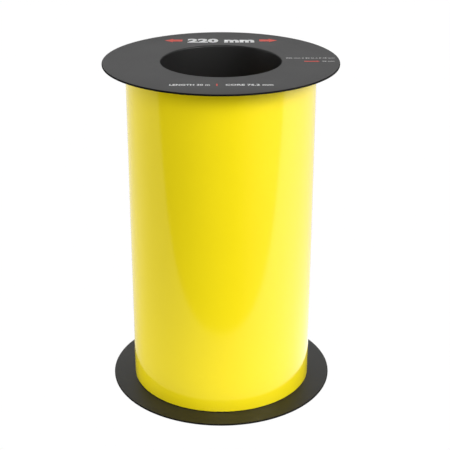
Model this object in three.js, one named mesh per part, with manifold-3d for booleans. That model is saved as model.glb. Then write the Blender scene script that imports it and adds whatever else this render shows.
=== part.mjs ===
// A roll of sign vinyl: yellow self-adhesive film on a release liner, wound on a paperboard core
// between two moulded flanges whose hubs plug into the core's ends.
// Millimetres, +Z up. The origin is the centre of the lower flange's resting face, and the roll's
// axis is +Z. The web's free end is held down at the back, on the +Y side.

import * as THREE from "three";
import { mergeVertices } from "three/addons/utils/BufferGeometryUtils.js";
import Module from "manifold-3d";

const wasm = await Module();
wasm.setup();

// Driving dimensions
const WEB_WIDTH = 220;
const FLANGE_DIAMETER = 151;
const FLANGE_THICKNESS = 1.2;
const BORE_DIAMETER = 76.7; // slides over a 3 inch spindle
const ROLL_DIAMETER = 122.1;

// Core and hubs
const CORE_WALL = 3.2;
const CORE_CLEARANCE = 0.65; // the core stands this much past the web at each end
const SEAT_GAP = 0.15; // between the core's end and the flange
const HUB_WALL = 1.6;
const HUB_LENGTH = 25;
const HUB_LEAD_IN = 0.8;
const RIB_COUNT = 12;
const RIB_HEIGHT = 0.35;
const RIB_WIDTH = 1.5;
const RIB_FIT_GAP = 0.2;
const RIB_START = 2; // from the flange's inner face
const RIB_END = 20;
const RIB_TAPER = 4;
const RIB_ROOT = 0.8; // how far a rib's foot is sunk into the hub wall
const EDGE_ROUND = 0.4;
const LIP_ROUND = 1;

// Web: a printable film, its adhesive and a release liner, 0.185 mm in all
const FILM_THICKNESS = 0.1;
const LINER_THICKNESS = 0.08;
const LAYER_GAP = 0.02;
const TAPE_THICKNESS = 0.1;
const TAPE_GAP = 0.1;

// Angles from +X towards +Y, in degrees. The web is wound so that it ends going that way round.
const FREE_END_ANGLE = 120;
const FLAP_SPAN = 60; // the stretch that lifts
const FREE_END_GAP = 0.5;
const CORE_TAPE_SPAN = 33;
const HOLD_TAPE_SPAN = 38;
const HOLD_TAPE_HEIGHT = 25;

const TURN_SEGMENTS = 96;
const ROUND_STEPS = 3; // per quarter round

// Derived sizes
const boreRadius = BORE_DIAMETER / 2;
const hubRadius = boreRadius + HUB_WALL;
const coreInnerRadius = hubRadius + RIB_HEIGHT + RIB_FIT_GAP;
const coreOuterRadius = coreInnerRadius + CORE_WALL;
const coreTapeRadius = coreOuterRadius + TAPE_GAP;
const webInnerRadius = coreTapeRadius + TAPE_THICKNESS + TAPE_GAP;
const filmOuterRadius = ROLL_DIAMETER / 2;
const filmInnerRadius = filmOuterRadius - FILM_THICKNESS;
const linerOuterRadius = filmInnerRadius - LAYER_GAP;
const linerInnerRadius = linerOuterRadius - LINER_THICKNESS;
const packRadius = linerInnerRadius - LAYER_GAP;
const holdTapeRadius = filmOuterRadius + TAPE_GAP;

const coreLength = WEB_WIDTH + 2 * CORE_CLEARANCE;
const coreBottom = FLANGE_THICKNESS + SEAT_GAP;
const webBottom = coreBottom + CORE_CLEARANCE;
const totalHeight = 2 * (FLANGE_THICKNESS + SEAT_GAP) + coreLength;
const middle = totalHeight / 2;

const material = (color, roughness) => new THREE.MeshStandardMaterial({ color, roughness, metalness: 0 });
const blackPlastic = material(0x242424, 0.45);
const yellowVinyl = material(0xffe81a, 0.12);
const linerPaper = material(0xf1efe6, 0.55);
const paperboard = material(0xa98b67, 0.85);
const clearTape = material(0xe9e4d2, 0.3);
const whiteTape = material(0xf4f4f0, 0.6);

function named(name, geometry, finish) {
  const mesh = new THREE.Mesh(geometry, finish);
  mesh.name = name;
  return mesh;
}

// A closed profile of [radius, height] points, anticlockwise, turned about Z.
function turned(profile) {
  const points = [...profile, profile[0]].map(([radius, height]) => new THREE.Vector2(radius, height));
  return new THREE.LatheGeometry(points, TURN_SEGMENTS).rotateX(Math.PI / 2);
}

function ring(innerRadius, outerRadius, bottom, height) {
  const top = bottom + height;
  return turned([
    [innerRadius, bottom],
    [outerRadius, bottom],
    [outerRadius, top],
    [innerRadius, top],
  ]);
}

// A strip of a ring between two angles, with its ends cut square.
function curvedStrip(innerRadius, thickness, startDegrees, spanDegrees, bottom, height) {
  const start = THREE.MathUtils.degToRad(startDegrees);
  const span = THREE.MathUtils.degToRad(spanDegrees);
  const steps = Math.ceil((spanDegrees / 360) * TURN_SEGMENTS);
  const arc = (radius) =>
    Array.from({ length: steps + 1 }, (_, i) => {
      const angle = start + (span * i) / steps;
      return new THREE.Vector2(radius * Math.cos(angle), radius * Math.sin(angle));
    });
  const outline = [...arc(innerRadius + thickness), ...arc(innerRadius).reverse()];
  return new THREE.ExtrudeGeometry(new THREE.Shape(outline), {
    depth: height,
    bevelEnabled: false,
  }).translate(0, 0, bottom);
}

// Points of a quarter round about a centre, from one angle to another.
function quarterRound(centreRadius, centreHeight, round, fromDegrees, toDegrees) {
  return Array.from({ length: ROUND_STEPS + 1 }, (_, i) => {
    const angle = THREE.MathUtils.degToRad(fromDegrees + ((toDegrees - fromDegrees) * i) / ROUND_STEPS);
    return [centreRadius + round * Math.cos(angle), centreHeight + round * Math.sin(angle)];
  });
}

function toSolid(geometry) {
  const bare = geometry.clone();
  bare.deleteAttribute("normal");
  bare.deleteAttribute("uv");
  const merged = mergeVertices(bare, 1e-3);
  return new wasm.Manifold(
    new wasm.Mesh({
      numProp: 3,
      vertProperties: new Float32Array(merged.getAttribute("position").array),
      triVerts: new Uint32Array(merged.index.array),
    }),
  );
}

function toGeometry(solid) {
  const mesh = solid.getMesh();
  return new THREE.BufferGeometry()
    .setAttribute("position", new THREE.BufferAttribute(mesh.vertProperties, 3))
    .setIndex(new THREE.BufferAttribute(mesh.triVerts, 1));
}

// One crush rib, which grips the core's bore and tapers to nothing where it enters first.
function crushRib(turnDegrees) {
  const foot = hubRadius - RIB_ROOT;
  const crest = hubRadius + RIB_HEIGHT;
  const side = new THREE.Shape([
    new THREE.Vector2(foot, -RIB_END),
    new THREE.Vector2(hubRadius, -RIB_END),
    new THREE.Vector2(crest, -RIB_END + RIB_TAPER),
    new THREE.Vector2(crest, -RIB_START),
    new THREE.Vector2(foot, -RIB_START),
  ]);
  return new THREE.ExtrudeGeometry(side, { depth: RIB_WIDTH, bevelEnabled: false })
    .translate(0, 0, -RIB_WIDTH / 2)
    .rotateX(Math.PI / 2)
    .rotateZ(THREE.MathUtils.degToRad(turnDegrees));
}

// A flange as it sits on the core's upper end: its inner face at height 0 and its hub pointing down.
function flangeGeometry() {
  const rim = FLANGE_DIAMETER / 2;
  const hubEnd = -HUB_LENGTH;
  const body = turned([
    [boreRadius, hubEnd],
    [hubRadius - HUB_LEAD_IN, hubEnd],
    [hubRadius, hubEnd + HUB_LEAD_IN],
    [hubRadius, 0],
    ...quarterRound(rim - EDGE_ROUND, EDGE_ROUND, EDGE_ROUND, -90, 0),
    ...quarterRound(rim - EDGE_ROUND, FLANGE_THICKNESS - EDGE_ROUND, EDGE_ROUND, 0, 90),
    ...quarterRound(boreRadius + LIP_ROUND, FLANGE_THICKNESS - LIP_ROUND, LIP_ROUND, 90, 180),
  ]);
  const ribs = Array.from({ length: RIB_COUNT }, (_, i) => toSolid(crushRib((360 * i) / RIB_COUNT)));
  return toGeometry(ribs.reduce((solid, rib) => solid.add(rib), toSolid(body)));
}

function makeSpool() {
  const spool = new THREE.Group();
  spool.add(
    named("core_tube", ring(coreInnerRadius, coreOuterRadius, coreBottom, coreLength), paperboard),
    named(
      "core_tape",
      curvedStrip(coreTapeRadius, TAPE_THICKNESS, FREE_END_ANGLE, CORE_TAPE_SPAN, webBottom, WEB_WIDTH),
      whiteTape,
    ),
  );
  const upper = named("upper_flange", flangeGeometry(), blackPlastic);
  upper.position.z = totalHeight - FLANGE_THICKNESS;
  const lower = named("lower_flange", flangeGeometry(), blackPlastic);
  lower.rotation.x = Math.PI;
  lower.position.z = FLANGE_THICKNESS;
  spool.add(upper, lower);
  return spool;
}

// The web's two layers over a stretch of the last turn.
function webLayers(prefix, startDegrees, spanDegrees) {
  const layer = (radius, thickness) =>
    curvedStrip(radius, thickness, startDegrees, spanDegrees, webBottom, WEB_WIDTH);
  return [
    named(prefix + "_film", layer(filmInnerRadius, FILM_THICKNESS), yellowVinyl),
    named(prefix + "_liner", layer(linerInnerRadius, LINER_THICKNESS), linerPaper),
  ];
}

function makeWeb() {
  const web = new THREE.Group();
  const gap = THREE.MathUtils.radToDeg(FREE_END_GAP / filmOuterRadius);
  const flapStart = FREE_END_ANGLE - FLAP_SPAN;
  web.add(
    named("wound_web", ring(webInnerRadius, packRadius, webBottom, WEB_WIDTH), yellowVinyl),
    ...webLayers("last_turn", FREE_END_ANGLE + gap, 360 - FLAP_SPAN - 2 * gap),
    ...webLayers("web_end", flapStart, FLAP_SPAN),
    named(
      "hold_down_tape",
      curvedStrip(
        holdTapeRadius,
        TAPE_THICKNESS,
        FREE_END_ANGLE - HOLD_TAPE_SPAN / 2,
        HOLD_TAPE_SPAN,
        middle - HOLD_TAPE_HEIGHT / 2,
        HOLD_TAPE_HEIGHT,
      ),
      clearTape,
    ),
  );
  return web;
}

const roll = new THREE.Group();
roll.add(makeSpool(), makeWeb());

export default roll;
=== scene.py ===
import math
import random

import bpy
from mathutils import Euler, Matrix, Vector


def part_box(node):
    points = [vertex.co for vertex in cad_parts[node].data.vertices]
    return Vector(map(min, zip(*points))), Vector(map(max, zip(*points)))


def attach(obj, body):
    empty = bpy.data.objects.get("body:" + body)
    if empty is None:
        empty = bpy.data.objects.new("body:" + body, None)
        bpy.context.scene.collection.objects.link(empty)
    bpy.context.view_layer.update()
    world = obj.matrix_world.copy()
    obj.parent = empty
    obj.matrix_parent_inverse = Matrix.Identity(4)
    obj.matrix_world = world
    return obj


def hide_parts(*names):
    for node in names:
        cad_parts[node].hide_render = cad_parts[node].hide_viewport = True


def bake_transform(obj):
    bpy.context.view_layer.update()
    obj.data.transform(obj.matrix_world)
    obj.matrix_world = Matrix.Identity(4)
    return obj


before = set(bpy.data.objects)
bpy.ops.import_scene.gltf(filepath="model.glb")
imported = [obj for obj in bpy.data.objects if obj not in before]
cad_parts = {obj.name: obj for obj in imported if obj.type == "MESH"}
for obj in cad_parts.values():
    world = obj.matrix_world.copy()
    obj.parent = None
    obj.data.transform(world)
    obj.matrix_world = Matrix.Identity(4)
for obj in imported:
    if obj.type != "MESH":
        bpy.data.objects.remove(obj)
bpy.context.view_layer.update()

# A roll of sign vinyl between two flanges, in metres, +Z up, standing on the lower flange.
# The free end of the web is at the back, on the +Y side, and the print is read from the front, -Y.

MM = 0.001
DEGREE = math.pi / 180
FULL_TURN = 360 * DEGREE

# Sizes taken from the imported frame
flange_low, flange_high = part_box("upper_flange")
core_low, core_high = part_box("core_tube")
web_low, web_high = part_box("wound_web")
_, film_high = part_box("last_turn_film")
tape_low, tape_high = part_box("hold_down_tape")

TOTAL_HEIGHT = flange_high.z
FLANGE_RADIUS = flange_high.x
FLANGE_LENGTH = flange_high.z - flange_low.z  # disc and hub together
ROLL_RADIUS = film_high.x
MIDDLE = TOTAL_HEIGHT / 2
EDGE_OVERREACH = 0.35 * MM  # the edges of a few turns reach past the others
WEB_BOTTOM = web_low.z - EDGE_OVERREACH
WEB_TOP = web_high.z + EDGE_OVERREACH

# Sizes of the flange moulding
BORE_RADIUS = 38.35 * MM
HUB_RADIUS = 39.95 * MM
DISC_THICKNESS = 1.2 * MM
EDGE_ROUND = 0.4 * MM
LIP_ROUND = 1 * MM
HUB_FILLET = 0.4 * MM
HUB_LEAD_IN = 0.8 * MM
HUB_END_ROUND = 0.35 * MM
DISC_RING = HUB_RADIUS + 12 * MM  # a ring of points that parts the wide faces of the disc
BORE_RING = 8 * MM  # one down the bore's wall, from the inner face
FILLET_RING = 0.6 * MM  # and one just past the fillet
RIB_COUNT = 12
RIB_PITCH = FULL_TURN / RIB_COUNT
RIB_HEIGHT = 0.35 * MM
RIB_HALF_WIDTH = 0.75 * MM
RIB_CROWN = 0.75  # the share of its half width where a rib has its full height
RIB_START = 2 * MM  # from the flange's inner face
RIB_MIDDLE = 8 * MM
RIB_END = 20 * MM
RIB_TAPER = 4 * MM
RIB_STEP = 0.01 * MM  # the length in which a rib's square end falls to the hub's wall

# Sizes of the core and the web
CORE_INNER = 40.5 * MM
CORE_OUTER = core_high.x
CORE_PLIES = 8
PLY_RECESS = (0.02, 0.14)  # how far short of the core's end the plies are cut, in millimetres
WEB_INNER = 44 * MM
FILM_THICKNESS = 0.1 * MM
LINER_THICKNESS = 0.075 * MM
BOND_LINE = 0.01 * MM
WEB_THICKNESS = FILM_THICKNESS + BOND_LINE + LINER_THICKNESS
TAPE_THICKNESS = 0.06 * MM
TAPE_GAP = 0.02 * MM
CORE_TAPE_THICKNESS = 0.1 * MM
CORE_TAPE_REACH = 0.2 * MM  # from the core to the tape's outer face
CORE_TAPE_SPAN = 33 * DEGREE

# Places round the roll, from +X towards +Y
FREE_END = 120 * DEGREE
FLAP_ROOT = 45 * DEGREE  # the free end's pieces start here, on the roll, short of the hinge line

SHARP_EDGE = 35 * DEGREE
NOISE_RANGE = (0.3, 0.7)  # where most of a noise pattern's values lie

rng = random.Random(20)


# Shader helpers

def new_material(name, base, roughness):
    """A Principled material, whose even values are set on the shader's own sockets."""
    material = bpy.data.materials.new(name)
    material.use_nodes = True
    shader = material.node_tree.nodes["Principled BSDF"]
    shader.inputs["Base Color"].default_value = (*base, 1)
    shader.inputs["Roughness"].default_value = roughness
    return material, material.node_tree, shader


def add_node(tree, kind, **settings):
    node = tree.nodes.new(kind)
    for key, value in settings.items():
        setattr(node, key, value)
    return node


def object_point(tree):
    return add_node(tree, "ShaderNodeTexCoord").outputs["Object"]


def noise(tree, point, scale, detail, stretch=(1, 1, 1)):
    """Noise with about `scale` features to the metre, stretched along the axes."""
    mapping = add_node(tree, "ShaderNodeMapping")
    mapping.inputs["Scale"].default_value = stretch
    tree.links.new(point, mapping.inputs["Vector"])
    texture = add_node(tree, "ShaderNodeTexNoise")
    texture.inputs["Scale"].default_value = scale
    texture.inputs["Detail"].default_value = detail
    tree.links.new(mapping.outputs["Vector"], texture.inputs["Vector"])
    return texture.outputs["Fac"]


def spread(tree, value, low, high, start, end):
    """Maps a value from the range start..end to low..high."""
    node = add_node(tree, "ShaderNodeMapRange")
    node.inputs["From Min"].default_value = start
    node.inputs["From Max"].default_value = end
    node.inputs["To Min"].default_value = low
    node.inputs["To Max"].default_value = high
    tree.links.new(value, node.inputs["Value"])
    return node.outputs["Result"]


def blend_colours(tree, factor, first, second):
    node = add_node(tree, "ShaderNodeMix", data_type="RGBA")
    for socket, colour in (("A_Color", first), ("B_Color", second)):
        target = next(s for s in node.inputs if s.identifier == socket)
        if isinstance(colour, bpy.types.NodeSocket):
            tree.links.new(colour, target)
        else:
            target.default_value = (*colour, 1)
    tree.links.new(factor, next(s for s in node.inputs if s.identifier == "Factor_Float"))
    return next(s for s in node.outputs if s.identifier == "Result_Color")


def mottle(tree, pattern, first, second):
    """Two colours, blended by a noise pattern."""
    return blend_colours(tree, spread(tree, pattern, 0, 1, *NOISE_RANGE), first, second)


def maths(tree, operation, first, second=None):
    node = add_node(tree, "ShaderNodeMath", operation=operation)
    for socket, value in zip(node.inputs, (first, second)):
        if isinstance(value, bpy.types.NodeSocket):
            tree.links.new(value, socket)
        elif value is not None:
            socket.default_value = value
    return node.outputs["Value"]


def add_bump(tree, shader, height, distance, strength):
    node = add_node(tree, "ShaderNodeBump")
    node.inputs["Distance"].default_value = distance
    node.inputs["Strength"].default_value = strength
    tree.links.new(height, node.inputs["Height"])
    tree.links.new(node.outputs["Normal"], shader.inputs["Normal"])


def level_length(tree, x, y):
    """The length of a vector seen from above."""
    squares = maths(tree, "ADD", maths(tree, "MULTIPLY", x, x), maths(tree, "MULTIPLY", y, y))
    return maths(tree, "SQRT", squares)


def polar(tree, point):
    """A point's distance from the roll's axis, its turn about the axis in radians, and its height."""
    parts = add_node(tree, "ShaderNodeSeparateXYZ")
    tree.links.new(point, parts.inputs["Vector"])
    x, y = parts.outputs["X"], parts.outputs["Y"]
    radius = level_length(tree, x, y)
    return radius, maths(tree, "ARCTAN2", y, x), parts.outputs["Z"]


# Materials

def black_plastic():
    """Injection-moulded polypropylene with a fine matt texture."""
    material, tree, shader = new_material("moulded_black_plastic", (0.012, 0.012, 0.012), 0.45)
    point = object_point(tree)
    grain = noise(tree, point, 2600, 2)
    cloud = noise(tree, point, 45, 3)
    tree.links.new(spread(tree, cloud, 0.45, 0.47, *NOISE_RANGE), shader.inputs["Roughness"])
    tree.links.new(
        mottle(tree, cloud, (0.0117, 0.0117, 0.0118), (0.0123, 0.0123, 0.0123)),
        shader.inputs["Base Color"],
    )
    add_bump(tree, shader, grain, 0.02 * MM, 0.5)
    return material


def rim_painted_shade():
    """Painted shade: the disc's narrow rim is the same moulding as its faces, made duller and darker than
    them to stand in for the dark line of shade along the edge.
    """
    material, tree, shader = new_material("moulded_rim_painted_shade", (0.003, 0.003, 0.003), 0.7)
    shader.inputs["Specular IOR Level"].default_value = 0.15
    grain = noise(tree, object_point(tree), 2600, 2)
    tree.links.new(
        mottle(tree, grain, (0.0024, 0.0024, 0.0024), (0.0036, 0.0036, 0.0036)),
        shader.inputs["Base Color"],
    )
    add_bump(tree, shader, grain, 0.02 * MM, 0.5)
    return material


def yellow_vinyl():
    """Calendered gloss film, with the faint orange peel of the real thing."""
    material, tree, shader = new_material("yellow_vinyl", (0.94, 0.757, 0.0103), 0.11)
    point = object_point(tree)
    cloud = noise(tree, point, 30, 2)
    peel = noise(tree, point, 900, 2, (1, 1, 0.6))
    tree.links.new(spread(tree, cloud, 0.105, 0.12, *NOISE_RANGE), shader.inputs["Roughness"])
    tree.links.new(
        mottle(tree, cloud, (0.936, 0.754, 0.0101), (0.944, 0.76, 0.0105)),
        shader.inputs["Base Color"],
    )
    add_bump(tree, shader, peel, 0.004 * MM, 0.5)
    return material


def release_liner():
    """Silicone-coated white kraft paper."""
    material, tree, shader = new_material("release_liner", (0.82, 0.8, 0.74), 0.42)
    point = object_point(tree)
    fibre = noise(tree, point, 700, 4, (1, 1, 0.25))
    tree.links.new(mottle(tree, fibre, (0.8, 0.78, 0.72), (0.86, 0.84, 0.78)), shader.inputs["Base Color"])
    tree.links.new(spread(tree, fibre, 0.36, 0.48, *NOISE_RANGE), shader.inputs["Roughness"])
    add_bump(tree, shader, fibre, 0.01 * MM, 0.6)
    return material


def web_edges():
    """The cut edges of the wound turns: yellow film and white liner by turns."""
    material, tree, shader = new_material("web_edges", (0.8, 0.7, 0.15), 0.5)
    radius, turn, _ = polar(tree, object_point(tree))
    turns = maths(
        tree,
        "SUBTRACT",
        maths(tree, "DIVIDE", radius, WEB_THICKNESS),
        maths(tree, "DIVIDE", turn, FULL_TURN),
    )
    layer = maths(tree, "FRACT", turns)
    is_liner = maths(tree, "LESS_THAN", layer, LINER_THICKNESS / WEB_THICKNESS)
    along = add_node(tree, "ShaderNodeCombineXYZ")
    tree.links.new(radius, along.inputs["X"])
    band = noise(tree, along.outputs["Vector"], 700, 4)
    film = mottle(tree, band, (0.55, 0.43, 0.01), (0.94, 0.8, 0.02))
    liner = mottle(tree, band, (0.55, 0.53, 0.44), (0.88, 0.86, 0.78))
    tree.links.new(blend_colours(tree, is_liner, film, liner), shader.inputs["Base Color"])
    add_bump(tree, shader, band, 0.05 * MM, 0.6)
    return material


def paperboard():
    """Spiral-wound kraft board, with its seam running round the tube."""
    material, tree, shader = new_material("paperboard", (0.36, 0.25, 0.14), 0.85)
    point = object_point(tree)
    _, turn, height = polar(tree, point)
    seam_pitch = 105 * MM
    seam_width = 0.006  # as a share of the pitch
    along = maths(
        tree,
        "SUBTRACT",
        maths(tree, "DIVIDE", turn, FULL_TURN),
        maths(tree, "DIVIDE", height, seam_pitch),
    )
    seam = maths(tree, "LESS_THAN", maths(tree, "FRACT", along), seam_width)
    fibre = noise(tree, point, 500, 5, (1, 1, 0.4))
    board = mottle(tree, fibre, (0.3, 0.2, 0.11), (0.43, 0.31, 0.185))
    tree.links.new(blend_colours(tree, seam, board, (0.2, 0.13, 0.07)), shader.inputs["Base Color"])
    add_bump(tree, shader, maths(tree, "SUBTRACT", fibre, seam), 0.06 * MM, 0.7)
    return material


def crepe_tape():
    """White masking tape that holds the start of the web to the core."""
    material, tree, shader = new_material("white_crepe_tape", (0.8, 0.8, 0.76), 0.6)
    point = object_point(tree)
    crepe = noise(tree, point, 600, 3, (1, 1, 3))
    tree.links.new(mottle(tree, crepe, (0.74, 0.73, 0.68), (0.83, 0.82, 0.78)), shader.inputs["Base Color"])
    add_bump(tree, shader, crepe, 0.05 * MM, 0.8)
    return material


def clear_tape():
    """Frosted clear tape: it whitens the film under it, most where it hasn't wetted out."""
    material, tree, shader = new_material("frosted_clear_tape", (0.92, 0.9, 0.82), 0.3)
    point = object_point(tree)
    frost = noise(tree, point, 1100, 3)
    patches = noise(tree, point, 220, 3, (1, 1, 2))
    tree.links.new(spread(tree, patches, 0.08, 0.15, 0.4, 0.62), shader.inputs["Alpha"])
    tree.links.new(spread(tree, frost, 0.26, 0.36, *NOISE_RANGE), shader.inputs["Roughness"])
    tree.links.new(mottle(tree, frost, (0.9, 0.88, 0.78), (0.94, 0.93, 0.88)), shader.inputs["Base Color"])
    add_bump(tree, shader, frost, 0.01 * MM, 0.5)
    return material


def ink(name, base):
    """Pad-printed ink, a little uneven where it has taken to the moulded texture."""
    material, tree, shader = new_material(name, base, 0.5)
    point = object_point(tree)
    speck = noise(tree, point, 1800, 3)
    thin_share = 0.86
    thin = tuple(thin_share * value for value in base)
    coverage = spread(tree, speck, 0, 1, 0.35, 0.65)
    tree.links.new(blend_colours(tree, coverage, thin, base), shader.inputs["Base Color"])
    add_bump(tree, shader, speck, 0.01 * MM, 0.5)
    return material


BLACK = black_plastic()
# painted shade: a darker, duller copy of the black plastic for the disc's rim
RIM_PAINTED_SHADE = rim_painted_shade()
YELLOW = yellow_vinyl()
LINER = release_liner()
EDGES = web_edges()
BOARD = paperboard()
CREPE = crepe_tape()
CLEAR = clear_tape()
WHITE_INK = ink("white_ink", (0.92, 0.92, 0.92))
RED_INK = ink("red_ink", (0.86, 0.06, 0.03))


# Mesh helpers

def make_piece(name, points, faces, materials, face_materials=None):
    """A mesh object, smooth except at its sharp edges."""
    mesh = bpy.data.meshes.new(name)
    mesh.from_pydata([tuple(p) for p in points], [], faces)
    for material in materials:
        mesh.materials.append(material)
    if face_materials is not None:
        mesh.polygons.foreach_set("material_index", face_materials)
    mesh.validate()
    mesh.shade_smooth()
    mesh.set_sharp_from_angle(angle=SHARP_EDGE)
    piece = bpy.data.objects.new(name, mesh)
    bpy.context.scene.collection.objects.link(piece)
    return piece


def arc(centre, radius, start, end, steps):
    """Points of an arc in the radius-height plane. Angles are in degrees, from outward towards up."""
    points = []
    for i in range(steps + 1):
        angle = (start + (end - start) * i / steps) * DEGREE
        points.append((centre[0] + radius * math.cos(angle), centre[1] + radius * math.sin(angle)))
    return points


def turned(profile, angles):
    """Points and faces of a closed profile turned about Z. `profile` is a function of the angle."""
    points = []
    for angle in angles:
        for radius, height in profile(angle):
            points.append((radius * math.cos(angle), radius * math.sin(angle), height))
    count = len(profile(angles[0]))
    faces = []
    for i in range(len(angles)):
        j = (i + 1) % len(angles)
        for k in range(count):
            m = (k + 1) % count
            faces.append((i * count + k, j * count + k, j * count + m, i * count + m))
    return points, faces


def even_angles(count):
    return [FULL_TURN * i / count for i in range(count)]


# Flanges

def rib_angles():
    """Angles round the hub, closer together at each crush rib."""
    flank = RIB_HALF_WIDTH / HUB_RADIUS
    beside = 1.3 * flank
    near = [-beside, -flank, -RIB_CROWN * flank, 0, RIB_CROWN * flank, flank, beside]
    plain_steps = 18
    gap = (RIB_PITCH - 2 * beside) / plain_steps
    between = [beside + gap * i for i in range(1, plain_steps)]
    return [RIB_PITCH * rib + offset for rib in range(RIB_COUNT) for offset in near + between]


def rib_height(angle, depth):
    """How far the hub's wall stands out at an angle, `depth` below the flange's inner face."""
    across = abs((angle + RIB_PITCH / 2) % RIB_PITCH - RIB_PITCH / 2) * HUB_RADIUS
    if across >= RIB_HALF_WIDTH or not RIB_START <= depth <= RIB_END:
        return 0
    flank_width = (1 - RIB_CROWN) * RIB_HALF_WIDTH
    crown = min(1, (RIB_HALF_WIDTH - across) / flank_width)
    return RIB_HEIGHT * crown * min(1, (RIB_END - depth) / RIB_TAPER)


def flange_profile(angle):
    """A flange with its inner face at height 0, its outer face up and its hub pointing down."""
    hub_end = DISC_THICKNESS - FLANGE_LENGTH
    edge_centre = FLANGE_RADIUS - EDGE_ROUND
    rib_depths = (
        RIB_END + RIB_STEP,
        RIB_END,
        RIB_END - RIB_TAPER,
        RIB_MIDDLE,
        RIB_START,
        RIB_START - RIB_STEP,
    )
    return (
        arc((BORE_RADIUS + HUB_END_ROUND, hub_end + HUB_END_ROUND), HUB_END_ROUND, 180, 270, 3)
        + [(HUB_RADIUS - HUB_LEAD_IN, hub_end), (HUB_RADIUS, hub_end + HUB_LEAD_IN)]
        + [(HUB_RADIUS + rib_height(angle, depth), -depth) for depth in rib_depths]
        + [(HUB_RADIUS, -FILLET_RING)]
        + arc((HUB_RADIUS + HUB_FILLET, -HUB_FILLET), HUB_FILLET, 180, 90, 3)
        + [(DISC_RING, 0)]
        + arc((edge_centre, EDGE_ROUND), EDGE_ROUND, -90, 0, 4)
        + arc((edge_centre, DISC_THICKNESS - EDGE_ROUND), EDGE_ROUND, 0, 90, 4)
        + [(DISC_RING, DISC_THICKNESS)]
        + arc((BORE_RADIUS + LIP_ROUND, DISC_THICKNESS - LIP_ROUND), LIP_ROUND, 90, 180, 8)
        + [(BORE_RADIUS, -BORE_RING)]
    )


def make_flange(name, turned_over, inner_face):
    """A flange the right way up or turned over, with its inner face at a height."""
    points, faces = turned(flange_profile, rib_angles())
    sign = -1 if turned_over else 1
    rim_start = FLANGE_RADIUS - 1.01 * EDGE_ROUND  # a hair inside the rounded edge
    # the faces on the rim take the painted-shade rim material
    on_rim = []
    for face in faces:
        nearest = min(math.hypot(points[v][0], points[v][1]) for v in face)
        on_rim.append(1 if nearest > rim_start else 0)
    points = [(x, sign * y, inner_face + sign * z) for x, y, z in points]
    return make_piece(name, points, faces, [BLACK, RIM_PAINTED_SHADE], on_rim)


upper_flange = make_flange("upper_flange_moulding", False, TOTAL_HEIGHT - DISC_THICKNESS)
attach(upper_flange, "upper_flange")
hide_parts("upper_flange")

lower_flange = make_flange("lower_flange_moulding", True, DISC_THICKNESS)
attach(lower_flange, "lower_flange")
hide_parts("lower_flange")


# Print on the upper flange's outer face

INK_THICKNESS = 0.03 * MM
PRINT_FACE = TOTAL_HEIGHT + 0.005 * MM
CAPITAL_HEIGHT = 0.73  # of the font's size
ARROW_HEAD = 0.62  # its length, of the arrow's height
ARROW_SHAFT = 0.27  # half its width, of the arrow's height


def letters(text, left, right, base, height, weight):
    """Lettering between two places across the face, with its capitals `height` tall.

    `weight` thickens the strokes, as a share of the font's size, and widens the spaces to match.
    """
    curve = bpy.data.curves.new("lettering", "FONT")
    curve.body = text
    curve.size = 1
    curve.offset = weight
    curve.space_character = 1 + weight
    curve.resolution_u = 3
    letter = bpy.data.objects.new("lettering", curve)
    bpy.context.scene.collection.objects.link(letter)
    bpy.context.view_layer.update()
    flat = bpy.data.meshes.new_from_object(letter.evaluated_get(bpy.context.evaluated_depsgraph_get()))
    bpy.data.objects.remove(letter)
    points = [vertex.co.copy() for vertex in flat.vertices]
    faces = [tuple(polygon.vertices) for polygon in flat.polygons]
    bpy.data.meshes.remove(flat)
    low = min(p.x for p in points)
    wide = max(p.x for p in points) - low
    placed = [
        (left + (p.x - low) / wide * (right - left), base + p.y / CAPITAL_HEIGHT * height)
        for p in points
    ]
    return placed, faces


def slab(outline):
    """A flat shape with one face."""
    return outline, [tuple(range(len(outline)))]


def bar(left, right, low, high):
    return slab([(left, low), (right, low), (right, high), (left, high)])


def arrow(tail, tip, middle, height):
    """A straight arrow across the face."""
    head = math.copysign(ARROW_HEAD * height, tip - tail)
    shaft = ARROW_SHAFT * height
    wing = height / 2
    outline = [
        (tail, middle - shaft),
        (tip - head, middle - shaft),
        (tip - head, middle - wing),
        (tip, middle),
        (tip - head, middle + wing),
        (tip - head, middle + shaft),
        (tail, middle + shaft),
    ]
    return slab(outline if tip > tail else outline[::-1])


def print_marks(name, shapes, material):
    """Raises flat shapes, each a list of places and of faces, into ink on the face."""
    points, faces = [], []
    for places, flat in shapes:
        base = len(points)
        count = len(places)
        points += [(x, y, PRINT_FACE + INK_THICKNESS) for x, y in places]
        points += [(x, y, PRINT_FACE) for x, y in places]
        edges = {}  # every face's edges, in order
        for face in flat:
            area = sum(
                places[a][0] * places[b][1] - places[b][0] * places[a][1]
                for a, b in zip(face, face[1:] + face[:1])
            )
            face = face if area > 0 else face[::-1]
            faces.append(tuple(base + v for v in face))
            faces.append(tuple(base + count + v for v in face[::-1]))
            for a, b in zip(face, face[1:] + face[:1]):
                edges[(a, b)] = True
        for a, b in edges:
            if (b, a) not in edges:
                faces.append((base + b, base + a, base + count + a, base + count + b))
    piece = make_piece(name, points, faces, [material])
    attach(piece, "upper_flange")


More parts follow.
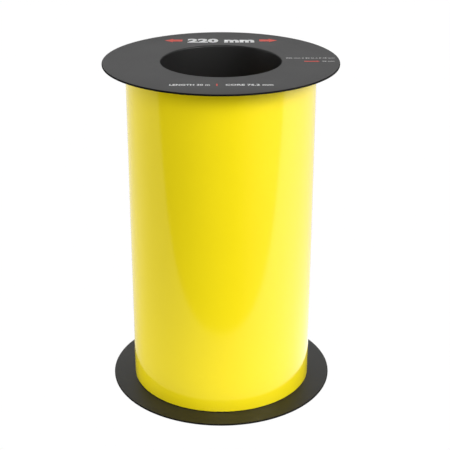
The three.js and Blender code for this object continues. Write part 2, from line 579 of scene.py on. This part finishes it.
print_marks(
    "white_print",
    [
        letters("220 mm", -22.5 * MM, 22.5 * MM, 46.4 * MM, 9.6 * MM, 0.055),
        letters("LENGTH 30 m", -30.5 * MM, -6.5 * MM, -57 * MM, 3.1 * MM, 0.03),
        letters("CORE 76.2 mm", 2.7 * MM, 31 * MM, -57 * MM, 3.1 * MM, 0.03),
        letters("220 mm x 30 m x 0.18 mm", 41.6 * MM, 72.6 * MM, 4.6 * MM, 1.7 * MM, 0.01),
        letters("76 mm", 64.2 * MM, 71.8 * MM, -3.4 * MM, 1.7 * MM, 0.01),
    ],
    WHITE_INK,
)
print_marks(
    "red_print",
    [
        arrow(-26 * MM, -38 * MM, 51.4 * MM, 9 * MM),
        arrow(26 * MM, 38 * MM, 51.4 * MM, 9 * MM),
        bar(-2.8 * MM, -2 * MM, -57.6 * MM, -53.4 * MM),
        arrow(52.8 * MM, 62.6 * MM, -2.7 * MM, 2.8 * MM),
    ],
    RED_INK,
)


# Core

def core_end(height, up):
    """The plies at one end of the tube, cut a little unevenly, from the bore outwards."""
    ply = (CORE_OUTER - CORE_INNER) / CORE_PLIES
    nick = 0.04 * MM  # between two plies
    points = []
    for i in range(CORE_PLIES):
        inner = CORE_INNER + ply * i
        level = height - up * rng.uniform(*PLY_RECESS) * MM
        points += [(inner + nick, level), (inner + ply - nick, level)]
        if i < CORE_PLIES - 1:
            points.append((inner + ply, level - up * nick))
    return points


def make_core():
    steps_round = 192
    profile = core_end(core_low.z, -1)
    profile += core_end(core_high.z, 1)[::-1]
    points, faces = turned(lambda angle: profile, even_angles(steps_round))
    return make_piece("core_board", points, faces, [BOARD])


core = make_core()
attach(core, "spool")
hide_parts("core_tube")


# Web: a spiral, so that its surface stands one thickness further out at the end of each turn

def spiral_radius(turn):
    """Outer radius of the web's last turn, which runs from the free end's angle once round to it again."""
    return ROLL_RADIUS - WEB_THICKNESS * (1 - (turn - FREE_END) / FULL_TURN)


def curl(turn, height):
    """How far the free end's corners stand off the roll, either side of the tape."""
    most = 0.55 * MM
    held = 16 * MM  # the tape holds the web flat this far from the middle
    curled_span = 22 * DEGREE
    steepness = 1.4
    start = FREE_END + FULL_TURN - curled_span
    along = max(0, (turn - start) / (FREE_END + FULL_TURN - start))
    half_width = (WEB_TOP - WEB_BOTTOM) / 2
    free = max(0, (abs(height - MIDDLE) - held) / (half_width - held))
    return most * along**2 * min(1, free) ** steepness


def sheet_piece(name, start, end, outer, thickness, heights, turn_steps, material):
    """A closed thin sheet wrapped round the roll.

    `outer` gives its outer radius at a turn and a height.
    """
    turns = [start + (end - start) * i / turn_steps for i in range(turn_steps + 1)]
    points = []
    for offset in (0, thickness):
        for turn in turns:
            for height in heights:
                radius = outer(turn, height) - offset
                points.append((radius * math.cos(turn), radius * math.sin(turn), height))
    rows = len(turns)
    columns = len(heights)
    inner = rows * columns
    faces = []
    for i in range(rows - 1):
        for j in range(columns - 1):
            a = i * columns + j
            b = a + columns
            faces.append((a, b, b + 1, a + 1))
            faces.append((inner + a, inner + a + 1, inner + b + 1, inner + b))
    rim = [i * columns for i in range(rows)]
    rim += [(rows - 1) * columns + j for j in range(1, columns)]
    rim += [i * columns + columns - 1 for i in range(rows - 2, -1, -1)]
    rim += [j for j in range(columns - 2, 0, -1)]
    for a, b in zip(rim, rim[1:] + rim[:1]):
        faces.append((b, a, inner + a, inner + b))
    return make_piece(name, points, faces, [material])


def even_heights(low, high, steps):
    return [low + (high - low) * i / steps for i in range(steps + 1)]


def film_radius(turn, height):
    return spiral_radius(turn) + curl(turn, height)


def liner_radius(turn, height):
    return film_radius(turn, height) - FILM_THICKNESS - BOND_LINE


HEIGHT_STEPS = 44
LAST_TURN_STEPS = 228
FREE_END_STEPS = 75

web_heights = even_heights(WEB_BOTTOM, WEB_TOP, HEIGHT_STEPS)
free_end_gap = 0.05 * DEGREE
last_start = FREE_END + free_end_gap
last_end = FULL_TURN + FLAP_ROOT
tip = FULL_TURN + FREE_END

last_film = sheet_piece(
    "outer_turn_film",
    last_start,
    last_end,
    film_radius,
    FILM_THICKNESS,
    web_heights,
    LAST_TURN_STEPS,
    YELLOW,
)
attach(last_film, "spool")
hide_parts("last_turn_film")

last_liner = sheet_piece(
    "outer_turn_liner",
    last_start,
    last_end,
    liner_radius,
    LINER_THICKNESS,
    web_heights,
    LAST_TURN_STEPS,
    LINER,
)
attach(last_liner, "spool")
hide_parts("last_turn_liner")


def bend_at_hinge(piece):
    """Bakes the piece's placement into its mesh; the free end stays on the roll, unbent."""
    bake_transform(piece)


end_film = sheet_piece(
    "free_end_film", last_end, tip, film_radius, FILM_THICKNESS, web_heights, FREE_END_STEPS, YELLOW
)
bend_at_hinge(end_film)
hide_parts("web_end_film")

end_liner = sheet_piece(
    "free_end_liner", last_end, tip, liner_radius, LINER_THICKNESS, web_heights, FREE_END_STEPS, LINER
)
bend_at_hinge(end_liner)
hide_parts("web_end_liner")


def wound_outer(angle):
    """Outer radius of the wound turns, one web thickness inside the last turn."""
    turn = angle if angle >= FREE_END else angle + FULL_TURN
    return spiral_radius(turn) - WEB_THICKNESS


def make_wound_turns():
    """The pack of turns, its ends slightly stepped where groups of turns have wandered."""
    groups = 46
    most_wander = 0.09  # in millimetres
    group_nick = 0.02 * MM  # between two groups
    skin_inset = 0.03 * MM
    steps_round = 240
    reach = ROLL_RADIUS - 3 * WEB_THICKNESS - WEB_INNER
    wander = [rng.uniform(0, most_wander) * MM for _ in range(2 * groups)]
    just_before_step = FREE_END - 0.01 * DEGREE
    angles = sorted(even_angles(steps_round) + [just_before_step])

    def end_points(level, up, offsets):
        points = []
        for i, offset in enumerate(offsets):
            inner = WEB_INNER + reach * i / groups
            points.append((inner + group_nick, level - up * offset))
            points.append((inner + reach / groups - group_nick, level - up * offset))
        return points

    bottom = end_points(WEB_BOTTOM, -1, wander[:groups])
    top = end_points(WEB_TOP, 1, wander[groups:])[::-1]

    def profile(angle):
        outer = wound_outer(angle)
        skin = [(outer, WEB_BOTTOM + skin_inset), (outer, WEB_TOP - skin_inset)]
        return bottom + skin + top

    points, faces = turned(profile, angles)
    count = len(profile(0))
    skin_face = len(bottom)
    face_materials = [0 if i % count == skin_face else 1 for i in range(len(faces))]
    return make_piece("wound_turns", points, faces, [YELLOW, EDGES], face_materials)


wound_turns = make_wound_turns()
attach(wound_turns, "spool")
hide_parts("wound_web")


# Tapes

def make_hold_down_tape():
    """A strip across the free end, which steps down off it on to the turn below."""
    half_span = 19 * DEGREE
    step_span = 1.2 * DEGREE
    ripple_height = 0.012 * MM
    height_steps = 16
    turn_steps = 76

    def outer(turn, height):
        past = min(1, max(0, (turn - tip) / step_span))
        drop = WEB_THICKNESS * past * past * (3 - 2 * past)
        on_web = ROLL_RADIUS - WEB_THICKNESS * (tip - turn) / FULL_TURN
        ripple = ripple_height * math.sin(height * 900) * math.sin(turn * 40)
        return on_web - drop + TAPE_THICKNESS + TAPE_GAP + ripple

    heights = even_heights(tape_low.z, tape_high.z, height_steps)
    return sheet_piece(
        "hold_down_strip",
        tip - half_span,
        tip + half_span,
        outer,
        TAPE_THICKNESS,
        heights,
        turn_steps,
        CLEAR,
    )


hold_down = make_hold_down_tape()
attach(hold_down, "web_end")
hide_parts("hold_down_tape")


def make_core_tape():
    """Crepe tape between the core and the first turn, with its wrinkles one above another."""
    wrinkle_height = 0.015 * MM
    wrinkles = 2.1  # radians to the millimetre
    height_steps = 220
    turn_steps = 16

    def outer(turn, height):
        wave = math.sin(height / MM * wrinkles + 3 * math.sin(turn * 9))
        return CORE_OUTER + CORE_TAPE_REACH + wrinkle_height * wave

    heights = even_heights(web_low.z, web_high.z, height_steps)
    return sheet_piece(
        "core_fixing_tape",
        FREE_END,
        FREE_END + CORE_TAPE_SPAN,
        outer,
        CORE_TAPE_THICKNESS,
        heights,
        turn_steps,
        CREPE,
    )


core_tape = make_core_tape()
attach(core_tape, "spool")
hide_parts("core_tape")


# Studio: a white floor and backdrop for the camera, and soft lights that only the roll sees

BACKDROP_WHITE = 1.004
FLOOR_SIZE = 20
FLOOR_LEVEL = -0.1 * MM
TABLE_SIZE = 4
TABLE_FRONT = -172 * MM  # the white table's front edge; in front of it the room is dark
TABLE_LEVEL = -0.8 * MM
TABLE_BRIGHTNESS = 0.825
SOFTBOX_SIZE = 0.5
SOFTBOX_DISTANCE = 1.4

# The wall behind has a bright strip across it. Its limits are sines of the elevation.
STRIP_BOTTOM = 0.25
STRIP_TOP = 0.4
STRIP_BRIGHTNESS = 1.833
STRIP_EXCESS = 0.992  # how much brighter it is than the wall above it

# The camera stands in front of the roll and looks down on it.
CAMERA_PLACE = (0, -0.7042, 0.41224)
CAMERA_PITCH = 23.217 * DEGREE
CAMERA_YAW = 0.212 * DEGREE
CAMERA_LENS = 90.86  # in millimetres, as the sensor's width is
CAMERA_SENSOR = 36


def stage_object(name, data):
    """A floor or a light: it isn't part of the roll and casts no shadow."""
    made = bpy.data.objects.new(name, data)
    bpy.context.scene.collection.objects.link(made)
    made.visible_shadow = False
    return made


def level_sheet(name, half_width, front, back, level, material):
    """A flat rectangle, as wide to the left as to the right."""
    corners = [(-half_width, front), (half_width, front), (half_width, back), (-half_width, back)]
    mesh = bpy.data.meshes.new(name)
    mesh.from_pydata([(x, y, level) for x, y in corners], [], [(0, 1, 2, 3)])
    mesh.materials.append(material)
    return stage_object(name, mesh)


def positive(tree, value, weight=1.0, power=1.0):
    """The positive part of a value, raised to a power and weighted."""
    part = maths(tree, "POWER", maths(tree, "MAXIMUM", value, 0.0), power)
    return maths(tree, "MULTIPLY", part, weight)


def bearing(tree, vector):
    """How far a direction, seen from above, points along X and along Y."""
    parts = add_node(tree, "ShaderNodeSeparateXYZ")
    tree.links.new(vector, parts.inputs["Vector"])
    x, y = parts.outputs["X"], parts.outputs["Y"]
    length = level_length(tree, x, y)
    return maths(tree, "DIVIDE", x, length), maths(tree, "DIVIDE", y, length)


def glowing(name, strength):
    """A glowing material. `strength` is a number or builds its value from the place on the sheet."""
    material = bpy.data.materials.new(name)
    material.use_nodes = True
    tree = material.node_tree
    tree.nodes.clear()
    glow = add_node(tree, "ShaderNodeEmission")
    if callable(strength):
        tree.links.new(strength(tree, *bearing(tree, object_point(tree))), glow.inputs["Strength"])
    else:
        glow.inputs["Strength"].default_value = strength
    output = add_node(tree, "ShaderNodeOutputMaterial")
    tree.links.new(glow.outputs["Emission"], output.inputs["Surface"])
    return material


def table_glow(tree, across, along):
    """The table in reflections: brighter towards the right and the back, but not both at once."""
    everywhere = 0.5
    right = positive(tree, across, weight=1.263, power=1.5)
    back = positive(tree, along, weight=0.418)
    corner = maths(tree, "MULTIPLY", positive(tree, across), positive(tree, along, weight=0.778))
    sides = maths(tree, "SUBTRACT", maths(tree, "ADD", right, back), corner)
    return maths(tree, "ADD", sides, everywhere)


def room_glow(tree, across, along):
    """The dark room in front of the table in reflections: less dark towards the right."""
    darkest_until = 0.3
    return positive(tree, maths(tree, "SUBTRACT", across, darkest_until), weight=0.82)


def make_floor():
    """A floor as white as the backdrop."""
    white = glowing("floor", BACKDROP_WHITE)
    floor = level_sheet("floor", FLOOR_SIZE, -FLOOR_SIZE, FLOOR_SIZE, FLOOR_LEVEL, white)
    floor.visible_diffuse = False
    floor.visible_glossy = False


def make_table():
    """The white table, as light that falls on the roll and as what shows in its gloss."""

    def sheet(name, front, back, glow):
        made = level_sheet(name, TABLE_SIZE, front, back, TABLE_LEVEL, glow)
        made.visible_camera = False
        return made

    light = sheet("table_light", TABLE_FRONT, TABLE_SIZE, glowing("table_light", TABLE_BRIGHTNESS))
    light.visible_glossy = False
    table = sheet("table_reflection", TABLE_FRONT, TABLE_SIZE, glowing("table_glow", table_glow))
    table.visible_diffuse = False
    room = sheet("room_reflection", -TABLE_SIZE, TABLE_FRONT, glowing("room_glow", room_glow))
    room.visible_diffuse = False


def make_softbox(name, azimuth, elevation, watts, mirrored=True):
    """A square light at an azimuth, from the front towards the right, and an elevation, in degrees.

    Where `mirrored` is false, it lights the roll but doesn't show in its gloss. The strong low ones
    need that: their glare would hide the upper disc from the opposite side.
    """
    light = bpy.data.lights.new(name, "AREA")
    light.shape = "SQUARE"
    light.size = SOFTBOX_SIZE
    light.energy = watts
    around, above = azimuth * DEGREE, elevation * DEGREE
    direction = Vector(
        (math.sin(around) * math.cos(above), -math.cos(around) * math.cos(above), math.sin(above))
    )
    softbox = stage_object(name, light)
    softbox.location = Vector((0, 0, MIDDLE)) + direction * SOFTBOX_DISTANCE
    softbox.rotation_euler = direction.to_track_quat("Z", "Y").to_euler()
    softbox.visible_camera = False
    softbox.visible_glossy = mirrored


def make_world():
    """White where the camera sees past the floor. For the roll, a lit wall behind it."""
    world = bpy.data.worlds.new("studio")
    bpy.context.scene.world = world
    world.use_nodes = True
    tree = world.node_tree
    tree.nodes.clear()
    parts = add_node(tree, "ShaderNodeSeparateXYZ")
    tree.links.new(add_node(tree, "ShaderNodeTexCoord").outputs["Generated"], parts.inputs["Vector"])
    height = parts.outputs["Z"]
    from_strip_up = positive(tree, maths(tree, "GREATER_THAN", height, STRIP_BOTTOM), STRIP_BRIGHTNESS)
    over_strip = positive(tree, maths(tree, "GREATER_THAN", height, STRIP_TOP), STRIP_EXCESS)
    brightness = maths(tree, "SUBTRACT", from_strip_up, over_strip)
    strength = maths(tree, "MULTIPLY", positive(tree, parts.outputs["Y"]), brightness)

    def background():
        node = add_node(tree, "ShaderNodeBackground")
        node.inputs["Color"].default_value = (1, 1, 1, 1)
        return node

    light = background()
    tree.links.new(strength, light.inputs["Strength"])
    seen = background()
    seen.inputs["Strength"].default_value = BACKDROP_WHITE
    mix = add_node(tree, "ShaderNodeMixShader")
    path = add_node(tree, "ShaderNodeLightPath")
    tree.links.new(path.outputs["Is Camera Ray"], mix.inputs[0])
    tree.links.new(light.outputs["Background"], mix.inputs[1])
    tree.links.new(seen.outputs["Background"], mix.inputs[2])
    output = add_node(tree, "ShaderNodeOutputWorld")
    tree.links.new(mix.outputs["Shader"], output.inputs["Surface"])


def make_camera():
    camera = bpy.data.objects.new("camera", bpy.data.cameras.new("camera"))
    bpy.context.scene.collection.objects.link(camera)
    camera.data.sensor_width = CAMERA_SENSOR
    camera.data.lens = CAMERA_LENS
    camera.location = CAMERA_PLACE
    camera.rotation_euler = Euler((math.pi / 2 - CAMERA_PITCH, 0, -CAMERA_YAW))
    bpy.context.scene.camera = camera


make_floor()
make_table()
make_softbox("softbox_right", 60, 35, 7.93)
make_softbox("softbox_front_right", 40, 35, 2.37)
make_softbox("softbox_front", 0, 35, 5.93)
make_softbox("softbox_left", -90, 15, 2.17)
make_softbox("low_softbox_right", 60, 15, 5.91, mirrored=False)
make_softbox("low_softbox_front_left", -30, 8, 5.64, mirrored=False)
make_softbox("low_softbox_back_left", -130, 0, 9.8, mirrored=False)
make_world()
make_camera()
bpy.context.scene.view_settings.view_transform = "Standard"
